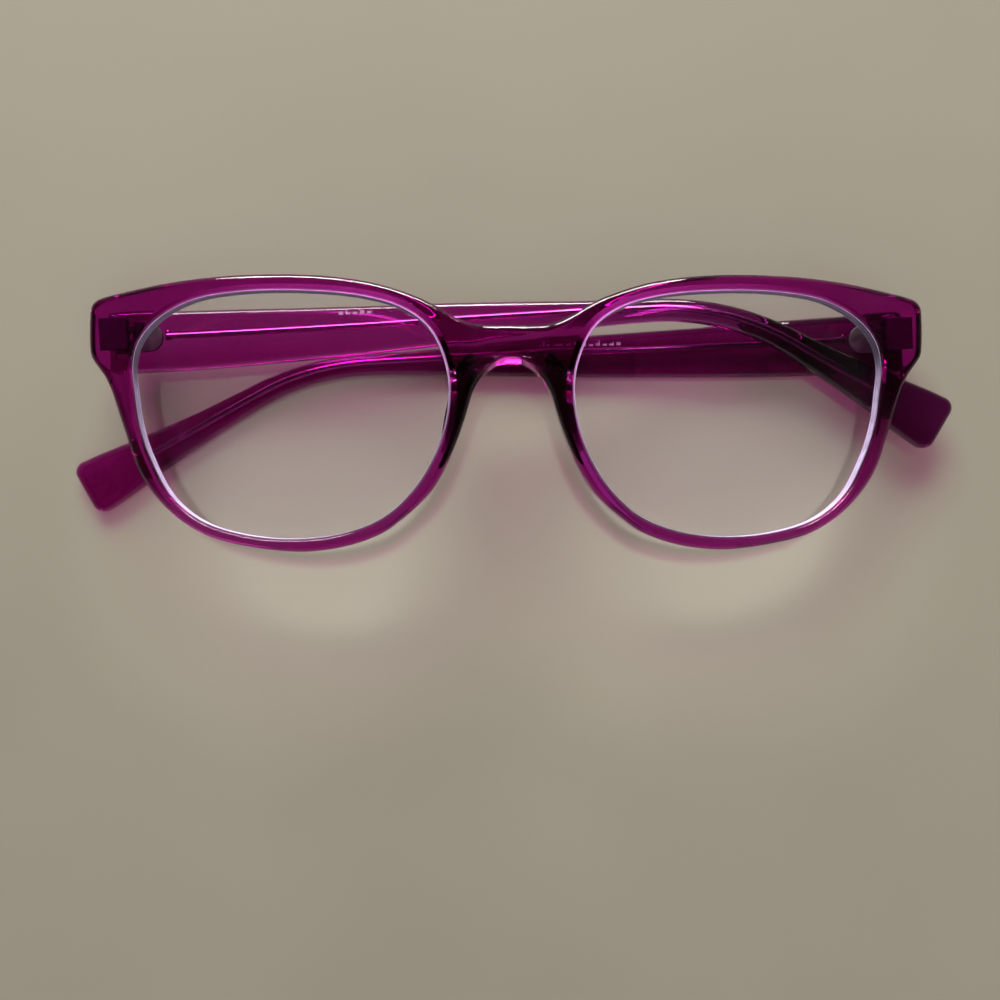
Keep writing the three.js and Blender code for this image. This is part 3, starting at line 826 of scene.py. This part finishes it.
def pad_mesh(p, sign):
    """A nose pad: half an egg behind the nasal side of the rim."""
    pad_x = p.lens_x - 1.02 * p.half_w
    back = -p.deep - sag(p, pad_x + 3)
    half_wide, taper, blunt, splay = 1.45, 0.35, 0.7, math.radians(14)
    bm = bmesh.new()
    bmesh.ops.create_uvsphere(bm, u_segments=56, v_segments=40, radius=1)
    bmesh.ops.rotate(bm, verts=bm.verts, cent=(0, 0, 0), matrix=Matrix.Rotation(math.pi / 2, 3, "X"))
    for vert in bm.verts:
        # Blunt at the top, tapering downwards.
        vert.co.x *= 1 + taper * vert.co.y
        if vert.co.y > 0:
            vert.co.y **= blunt
    bmesh.ops.scale(bm, verts=bm.verts, vec=(half_wide, 0.5 * p.half_h, p.pad_depth))
    bmesh.ops.rotate(bm, verts=bm.verts, cent=(0, 0, 0), matrix=Matrix.Rotation(splay, 3, "Z"))
    bmesh.ops.bisect_plane(
        bm, geom=bm.verts[:] + bm.edges[:] + bm.faces[:], dist=0.0001, plane_co=(0, 0, 0),
        plane_no=(0, 0, 1), clear_outer=True,
    )
    close_ends(bm)
    round_off(bm, sharp_edges(bm, 60), 0.25, 3)
    bmesh.ops.translate(bm, verts=bm.verts, vec=(pad_x, 0.01 * p.half_h, back - 0.2))
    if sign < 0:
        bmesh.ops.scale(bm, verts=bm.verts, vec=(-1, 1, 1))
    return bm


def midline(p, s, bend):
    """Where the temple's wire line is at distance s from the pin, and which way is up there."""
    turn = min(max((s - p.bend_start) / p.ear, 0), bend)
    past = max(s - p.bend_start - p.ear * bend, 0)
    straight = min(s, p.bend_start)
    x = straight + p.ear * math.sin(turn) + past * math.cos(bend)
    y = p.wire_up - p.ear * (1 - math.cos(turn)) - past * math.sin(bend)
    return Vector((x, y, 0)), Vector((math.sin(turn), math.cos(turn), 0))


def temple_stations(p):
    """Distances from the pin of the temple's rows of points."""
    first = 0.3 - p.seat
    run = [first + (p.bend_start - first) * k / 24 for k in range(24)]
    run += [p.bend_start + p.ear * 0.6 * k / 18 for k in range(19)]
    start = run[-1]
    run += [start + (p.length - start) * k / 6 for k in range(1, 7)]
    return run


def temple_mesh(p, side):
    """A flat strip along the temple's midline, thickened, its tip and edges rounded."""
    widths = spline([(s * p.length, half) for s, half in TEMPLE_WIDTHS], 8)
    widths = [(q.x, q.y) for q in widths]
    off_wire = [(s * p.length, off) for s, off in TEMPLE_OFF_WIRE]
    run = temple_stations(p)

    def row(s):
        middle, up = midline(p, s, p.bend[side])
        across = (-1, -0.5, 0, 0.5, 1)
        return [middle + up * (between(off_wire, s) + way * between(widths, s)) for way in across]

    bm = bmesh.new()
    ring = [bm.verts.new(place) for place in row(run[0])]
    for pair in zip(ring, ring[1:]):
        bm.edges.new(pair)
    for s in run[1:]:
        ring = grow(bm, ring, row(s), closed=False)
    corners = (ring[0], ring[-1])
    bmesh.ops.translate(bm, verts=bm.verts, vec=(0, 0, -p.pin_inboard))
    thicken(bm, p.thick)
    upright = [
        edge for vert in corners for edge in vert.link_edges
        if abs(edge.verts[0].co.z - edge.verts[1].co.z) > 1
    ]
    round_off(bm, upright, 2, 8)
    round_off(bm, sharp_edges(bm, 50), p.rounding, 6)
    low = -p.pin_inboard - p.thick
    for vert in bm.verts:
        part = min(max((vert.co.x - 20) / (p.length - 40), 0), 1)
        vert.co.z = low + (vert.co.z - low) * (1 + (p.tip / p.thick - 1) * part)
    return bm


def cut_away(piece, cutter_mesh):
    """Takes a cutter's shape out of a finished piece."""
    mesh = bpy.data.meshes.new("cutter")
    cutter_mesh.to_mesh(mesh)
    cutter_mesh.free()
    cutter = bpy.data.objects.new("cutter", mesh)
    bpy.context.scene.collection.objects.link(cutter)
    cut = piece.modifiers.new("Notch", "BOOLEAN")
    cut.operation = "DIFFERENCE"
    cut.solver = "EXACT"
    cut.object = cutter
    piece.modifiers.move(len(piece.modifiers) - 1, 0)
    even = [m for m in piece.modifiers if m.type == "WEIGHTED_NORMAL"]
    for modifier in even:
        modifier.show_viewport = False
    dg = bpy.context.evaluated_depsgraph_get()
    dg.update()
    made = bpy.data.meshes.new_from_object(piece.evaluated_get(dg))
    piece.modifiers.remove(cut)
    old = piece.data
    piece.data = made
    made.name = old.name
    bpy.data.meshes.remove(old)
    bpy.data.objects.remove(cutter)
    bpy.data.meshes.remove(mesh)
    for modifier in even:
        modifier.show_viewport = True


def wire_mesh(p, side):
    """A core wire with a pointed end and a flattened cross head by the hinge."""
    start, end = p.leaf_end + 0.3, 0.93 * p.length
    run = [start + (p.bend_start - start) * k / 10 for k in range(10)]
    run += [p.bend_start + p.ear * 0.6 * k / 14 for k in range(15)]
    run += [run[-1] + (end - run[-1]) * k / 5 for k in range(1, 6)]
    deep = Vector((0, 0, -p.pin_inboard - p.thick / 2))
    inward = Vector((0, 0, 1))
    turns = [k / 20 * math.tau for k in range(20)]
    bm = bmesh.new()

    def row(s, radius):
        middle, up = midline(p, s, p.bend[side])
        return [
            middle + deep + (up * math.cos(turn) + inward * math.sin(turn)) * radius for turn in turns
        ]

    ring = circle(bm, row(run[0], p.wire))
    for s in run[1:-1]:
        ring = grow(bm, ring, row(s, p.wire))
    ring = grow(bm, ring, row(end - 0.9, 0.8 * p.wire))
    grow(bm, ring, row(end, 0.25 * p.wire))
    close_ends(bm)
    head_half = 0.8
    head = barrel(bm, 0.8 * p.wire, p.wire_up - head_half, p.wire_up + head_half, 24)
    bmesh.ops.translate(bm, verts=head, vec=(start + 0.35, 0, deep.z))
    round_off(bm, sharp_edges(bm, 60), 0.12, 2)
    return bm


def front_leaf_mesh(p):
    """The hinge leaf let into the endpiece, with three barrels."""
    bm = bmesh.new()
    for k in (-2, 0, 2):
        low, high = k * p.pitch - p.barrel_half, k * p.pitch + p.barrel_half
        barrel(bm, p.barrel, low, high)
        block(bm, (1 - p.barrel, p.barrel - 0.15), (low, high), (0, p.seat + 0.3))
    block(bm, (-2.6, 1.7), (-p.leaf_half - 0.15, p.leaf_half + 0.15), (p.seat - 0.1, p.seat + 1))
    round_off(bm, sharp_edges(bm, 60), 0.08, 2)
    return bm


def temple_leaf_mesh(p):
    """The hinge leaf let into the temple: a plate with a half-round end and two barrels."""
    bm = bmesh.new()
    floor = -p.pin_inboard - 0.95
    for k in (-1, 1):
        low, high = k * p.pitch - p.barrel_half, k * p.pitch + p.barrel_half
        barrel(bm, p.barrel, low, high)
        block(bm, (0, 2.3), (low, high), (floor, 1 - p.pin_inboard))
    square_end = 1.7
    round_end = Vector((p.leaf_end - p.leaf_half, 0, 0))
    steps = 18
    places = [Vector((square_end, -p.leaf_half, 0))]
    for k in range(steps + 1):
        turn = -math.pi / 2 + math.pi * k / steps
        places.append(round_end + Vector((math.cos(turn), math.sin(turn), 0)) * p.leaf_half)
    places.append(Vector((square_end, p.leaf_half, 0)))
    ring = circle(bm, places)
    plate = bmesh.ops.contextual_create(bm, geom=ring)["faces"]
    top = 0.04 - p.pin_inboard
    bmesh.ops.translate(bm, verts=ring, vec=(0, 0, top))
    made = bmesh.ops.extrude_face_region(bm, geom=plate)["geom"]
    bmesh.ops.translate(bm, verts=[item for item in made if is_vert(item)], vec=(0, 0, floor - top))
    bmesh.ops.recalc_face_normals(bm, faces=bm.faces)
    round_off(bm, sharp_edges(bm, 60), 0.08, 2)
    return bm


def screw_mesh(p):
    """A hinge screw with a cheese head."""
    top = p.screw_top
    bm = bmesh.new()
    barrel(bm, p.screw, 0.1 - top, top + 0.2, 28)
    barrel(bm, p.barrel - 0.15, top + 0.1, top + 0.6, 36)
    round_off(bm, sharp_edges(bm, 60), 0.07, 2)
    return bm


def screw_slot(p, place):
    """The slot that is cut into a screw's head."""
    bm = bmesh.new()
    block(bm, (-2, 2), (p.screw_top + 0.38, p.screw_top + 1), (-0.14, 0.14))
    bmesh.ops.transform(bm, matrix=place, verts=bm.verts)
    bmesh.ops.recalc_face_normals(bm, faces=bm.faces)
    return bm


def mark_mesh(p, side):
    """A plain printed size mark on the inner face of a temple: short strokes, no letters."""
    bm = bmesh.new()
    top = -p.pin_inboard
    first, y, strokes = (34.5, 1.95, 5) if side == "right" else (43.5, 1.0, 11)
    for k in range(strokes):
        tall = 0.95 if k % 3 == 0 else 0.6
        x = first + k * 1.15
        block(bm, (x, x + 0.7), (y, y + tall * 0.55), (top - 0.03, top + 0.012))
        if k % 2:
            block(bm, (x, x + 0.16), (y, y + tall), (top - 0.03, top + 0.014))
    return bm


class GLASSES_OT_front(bpy.types.Operator):
    """Cut the acetate front with its lens grooves, arch and rounded edges"""

    bl_idname = "glasses.front"
    bl_label = "Front"

    def execute(self, context):
        p = plan()
        finish(
            front_mesh(p), "acetate_front", [acetate("Plum acetate")], "front", "front_frame",
            on_front(p),
        )
        return {"FINISHED"}


class GLASSES_OT_lenses(bpy.types.Operator):
    """Grind the two lenses to their openings"""

    bl_idname = "glasses.lenses"
    bl_label = "Lenses"

    def execute(self, context):
        p = plan()
        for side, sign in SIDES.items():
            finish(
                lens_mesh(p, sign), "ground_lens_" + side, [lens_clear(), lens_ground()], "front",
                "lens_" + side, on_front(p),
            )
        return {"FINISHED"}


class GLASSES_OT_pads(bpy.types.Operator):
    """Shape the two nose pads behind the rims"""

    bl_idname = "glasses.pads"
    bl_label = "Nose pads"

    def execute(self, context):
        p = plan()
        for side, sign in SIDES.items():
            # Painted shade: the pads take a copy of the acetate that darkens four times as fast with
            # depth, for the dark nasal columns behind the rims.
            finish(
                pad_mesh(p, sign), "nose_rest_" + side, [acetate("Plum pad acetate darkened as painted shade", 4.0)], "front",
                "nose_pad_" + side, on_front(p),
            )
        return {"FINISHED"}


class GLASSES_OT_temples(bpy.types.Operator):
    """Shape the two temples and cut the notch for their hinge barrels"""

    bl_idname = "glasses.temples"
    bl_label = "Temples"

    def execute(self, context):
        p = plan()
        for side in SIDES:
            place = at_hinge(p, side, moving=True)
            # The temples take painted shade: their colour darkens towards +x on the table.
            piece = finish(
                temple_mesh(p, side), "acetate_temple_" + side,
                [acetate("Plum temple acetate with painted side shade", painted_side_shade=True)], side + "_temple",
                "temple_" + side, place,
            )
            notch = bmesh.new()
            barrel(notch, p.barrel + 0.3, -p.screw_top - 0.75, p.screw_top + 0.75)
            bmesh.ops.transform(notch, matrix=place, verts=notch.verts)
            bmesh.ops.recalc_face_normals(notch, faces=notch.faces)
            cut_away(piece, notch)
        return {"FINISHED"}


class GLASSES_OT_wires(bpy.types.Operator):
    """Draw the core wires through the temples"""

    bl_idname = "glasses.wires"
    bl_label = "Core wires"

    def execute(self, context):
        p = plan()
        look = context.scene.glasses_finish
        drawn = metal(
            "Drawn wire", Vector(look.metal) * 1.45, 0.05, 0.14, scale=(1, 0.1, 1), grain=2400.0,
            depth=0.00003,
        )
        for side in SIDES:
            finish(
                wire_mesh(p, side), "reinforcing_wire_" + side, [drawn], side + "_temple",
                "core_wire_" + side, at_hinge(p, side, moving=True),
            )
        return {"FINISHED"}


class GLASSES_OT_hinges(bpy.types.Operator):
    """Fit the five-barrel hinges and their screws"""

    bl_idname = "glasses.hinges"
    bl_label = "Hinges"

    def execute(self, context):
        p = plan()
        look = context.scene.glasses_finish
        # Painted shade: the hinge leaves take the nickel silver darkened to a fifth, for the little
        # light that reaches them inside the acetate.
        hinge_metal_in_painted_shade = metal(
            "Machined hinge darkened as painted shade", Vector(look.metal) * 0.2, 0.35, 0.45, grain=5000.0, depth=0.000003,
        )
        turned = metal("Turned screw", Vector(look.metal) * 1.15, 0.15, 0.35)
        for side in SIDES:
            fixed = at_hinge(p, side, moving=False)
            moving = at_hinge(p, side, moving=True)
            finish(
                front_leaf_mesh(p), "hinge_leaf_front_" + side, [hinge_metal_in_painted_shade], "front",
                "front_hinge_leaf_" + side, fixed,
            )
            finish(
                temple_leaf_mesh(p), "hinge_leaf_temple_" + side, [hinge_metal_in_painted_shade], side + "_temple",
                "temple_hinge_leaf_" + side, moving,
            )
            screw = finish(
                screw_mesh(p), "slotted_screw_" + side, [turned], "front",
                "hinge_screw_" + side, fixed,
            )
            cut_away(screw, screw_slot(p, fixed))
        return {"FINISHED"}


class GLASSES_OT_marks(bpy.types.Operator):
    """Print the plain size marks on the temples"""

    bl_idname = "glasses.marks"
    bl_label = "Printed marks"

    def execute(self, context):
        p = plan()
        for side in SIDES:
            finish(
                mark_mesh(p, side), "printed_mark_" + side, [print_ink()], side + "_temple", None,
                at_hinge(p, side, moving=True),
            )
        return {"FINISHED"}


def hang(light, place, aim):
    """Puts a light in its place, turned to what it shines on and hidden from the camera."""
    holder = bpy.data.objects.new(light.name, light)
    holder.location = place
    holder.rotation_euler = (Vector(aim) - Vector(place)).to_track_quat("-Z", "Y").to_euler()
    holder.visible_camera = False
    bpy.context.scene.collection.objects.link(holder)
    return holder


def lamp(name, place, size, power, tint):
    """A soft rectangular lamp that shines on the middle of the table."""
    light = bpy.data.lights.new(name, "AREA")
    light.shape = "RECTANGLE"
    light.size, light.size_y = size
    light.energy = power
    light.color = tint
    return hang(light, place, (0, 0, 0))


def gathered_light(name, aim):
    """The pool of light that a lens gathers on the table below it."""
    light = bpy.data.lights.new(name, "SPOT")
    light.energy = 22.0
    light.spot_size = math.radians(6)
    light.spot_blend = 1
    light.shadow_soft_size = 0.03
    return hang(light, aim + Vector((0, 0.08, 0.38)), aim)


def unseen(holder):
    """Hides a light from mirrors and clear pieces."""
    holder.visible_glossy = False
    holder.visible_transmission = False


class GLASSES_OT_stage(bpy.types.Operator):
    """Set the pale table, the soft lights and the camera"""

    bl_idname = "glasses.stage"
    bl_label = "Stage"

    def execute(self, context):
        scene = context.scene
        bm = bmesh.new()
        bmesh.ops.create_grid(bm, x_segments=24, y_segments=24, size=2)
        mesh = bpy.data.meshes.new("table")
        bm.to_mesh(mesh)
        bm.free()
        mesh.materials.append(table_top())
        table = bpy.data.objects.new("table", mesh)
        scene.collection.objects.link(table)

        lamp("window", (-0.12, 0.95, 0.58), (0.85, 0.48), 36.0, (1.0, 0.99, 0.96))
        unseen(lamp("room", (0.2, -0.4, 1.2), (1.2, 1.2), 9.0, (1.0, 0.96, 0.9)))
        for side, sign in SIDES.items():
            unseen(gathered_light("gathered light " + side, Vector((sign * 0.033, -0.019, 0))))

        world = bpy.data.worlds.new("soft room")
        world.use_nodes = True
        tree = world.node_tree
        place = add(tree, "ShaderNodeTexCoord")
        parts = add(tree, "ShaderNodeSeparateXYZ")
        height = add(tree, "ShaderNodeMapRange")
        height.inputs["From Min"].default_value = 0.1
        height.inputs["From Max"].default_value = 0.8
        height.inputs["To Min"].default_value = 0.55
        height.inputs["To Max"].default_value = 0.02
        tree.links.new(place.outputs["Generated"], parts.inputs["Vector"])
        tree.links.new(parts.outputs["Z"], height.inputs["Value"])
        tree.links.new(height.outputs["Result"], tree.nodes["Background"].inputs["Strength"])
        tree.nodes["Background"].inputs["Color"].default_value = (0.85, 0.84, 0.8, 1)
        scene.world = world

        camera_data = bpy.data.cameras.new("camera")
        camera_data.sensor_width = 36
        camera_data.lens = 38.9
        camera_data.clip_start = 0.01
        camera = bpy.data.objects.new("camera", camera_data)
        camera.location = (-0.001651, -0.013469, 0.180845)
        camera.rotation_euler = (0, 0, math.radians(-0.25))
        scene.collection.objects.link(camera)
        scene.camera = camera

        scene.view_settings.view_transform = "Standard"
        cycles = scene.cycles
        cycles.max_bounces = 28
        cycles.transmission_bounces = 24
        cycles.glossy_bounces = 8
        cycles.diffuse_bounces = 3
        cycles.transparent_max_bounces = 32
        cycles.caustics_reflective = False
        cycles.caustics_refractive = False
        return {"FINISHED"}


OPERATORS = [
    GLASSES_OT_front, GLASSES_OT_lenses, GLASSES_OT_pads, GLASSES_OT_temples, GLASSES_OT_wires,
    GLASSES_OT_hinges, GLASSES_OT_marks, GLASSES_OT_stage,
]


class GLASSES_PT_panel(bpy.types.Panel):
    """Sizes, finishes and pieces of the glasses"""

    bl_idname = "GLASSES_PT_panel"
    bl_label = "Folded glasses"
    bl_space_type = "VIEW_3D"
    bl_region_type = "UI"
    bl_category = "Glasses"

    def draw(self, context):
        column = self.layout.column(align=True)
        for operator in OPERATORS:
            column.operator(operator.bl_idname)
        scene = context.scene
        for group in (scene.glasses_front, scene.glasses_temple, scene.glasses_finish):
            column.separator()
            for name in group.bl_rna.properties.keys():
                if name not in {"rna_type", "name"}:
                    column.prop(group, name)


CLASSES = [FrontSizes, TempleSizes, Finishes, *OPERATORS, GLASSES_PT_panel]


def register():
    for cls in CLASSES:
        bpy.utils.register_class(cls)
    bpy.types.Scene.glasses_front = PointerProperty(type=FrontSizes)
    bpy.types.Scene.glasses_temple = PointerProperty(type=TempleSizes)
    bpy.types.Scene.glasses_finish = PointerProperty(type=Finishes)


def unregister():
    for name in ("glasses_front", "glasses_temple", "glasses_finish"):
        delattr(bpy.types.Scene, name)
    for cls in reversed(CLASSES):
        bpy.utils.unregister_class(cls)


def main():
    register()
    for operator in OPERATORS:
        group, name = operator.bl_idname.split(".")
        getattr(getattr(bpy.ops, group), name)()


if __name__ == "__main__":
    main()
